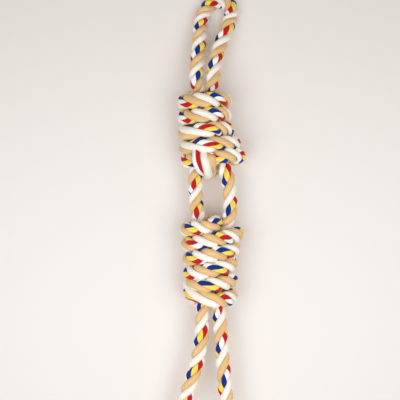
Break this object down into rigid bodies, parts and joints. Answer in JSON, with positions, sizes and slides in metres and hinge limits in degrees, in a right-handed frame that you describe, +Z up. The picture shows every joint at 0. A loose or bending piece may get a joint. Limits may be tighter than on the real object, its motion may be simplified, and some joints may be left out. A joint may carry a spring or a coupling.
{
  "type": "rope dog toy",
  "caption": "Cotton rope dog tug: a doubled rope with a hand loop, bound by two coiled rope wraps with an open eye between, ending in two knotted, frayed tails.",
  "frame": {"origin": "on the surface that the toy lies on, under the middle of its length and width", "axes": "+Z up from that surface, +Y along the toy towards the hand loop, +X to the right seen from above"},
  "size_m": [0.1141, 0.51, 0.0519],
  "materials": {
    "laid_rope": "three-strand laid cotton in white, tan and mixed colours",
    "white_cotton": "soft undyed cotton yarn",
    "tan_cotton": "soft tan cotton yarn",
    "coloured_cotton": "soft dyed cotton yarn in blue, yellow, red and white"
  },
  "bodies": {
    "upper_binding": {"upper_wrap": "laid_rope", "upper_left_leg": "laid_rope", "upper_right_leg": "laid_rope", "loop_left_neck": "laid_rope", "loop_right_neck": "laid_rope", "left_middle_leg": "laid_rope", "right_middle_leg": "laid_rope"},
    "loop_end": {"hand_loop": "laid_rope"},
    "lower_binding": {"lower_wrap": "laid_rope", "lower_left_leg": "laid_rope", "lower_right_leg": "laid_rope", "left_tail_neck": "laid_rope", "right_tail_neck": "laid_rope"},
    "left_end": {"left_tail": "laid_rope", "left_stopper_knot": "laid_rope", "left_tassel_white": "white_cotton", "left_tassel_tan": "tan_cotton", "left_tassel_colour": "coloured_cotton"},
    "right_end": {"right_tail": "laid_rope", "right_stopper_knot": "laid_rope", "right_tassel_white": "white_cotton", "right_tassel_tan": "tan_cotton", "right_tassel_colour": "coloured_cotton"}
  },
  "joints": [
    {"name": "loop_bend", "type": "hinge", "parent": "upper_binding", "child": "loop_end", "pos_m": [0.00696, 0.16504, 0.0284], "axis": [1, 0, 0], "range_deg": [-75, 75], "deforming": ["loop_left_neck", "loop_right_neck"]},
    {"name": "middle_bend", "type": "hinge", "parent": "upper_binding", "child": "lower_binding", "pos_m": [0.01496, 0.05154, 0.0246], "axis": [1, 0, 0], "range_deg": [-60, 60], "deforming": ["left_middle_leg", "right_middle_leg"]},
    {"name": "left_tail_bend", "type": "hinge", "parent": "lower_binding", "child": "left_end", "pos_m": [0.00436, -0.06246, 0.0287], "axis": [1, 0, 0], "range_deg": [-75, 75], "deforming": ["left_tail_neck"]},
    {"name": "right_tail_bend", "type": "hinge", "parent": "lower_binding", "child": "right_end", "pos_m": [0.02056, -0.06246, 0.0287], "axis": [1, 0, 0], "range_deg": [-75, 75], "deforming": ["right_tail_neck"]}
  ]
}
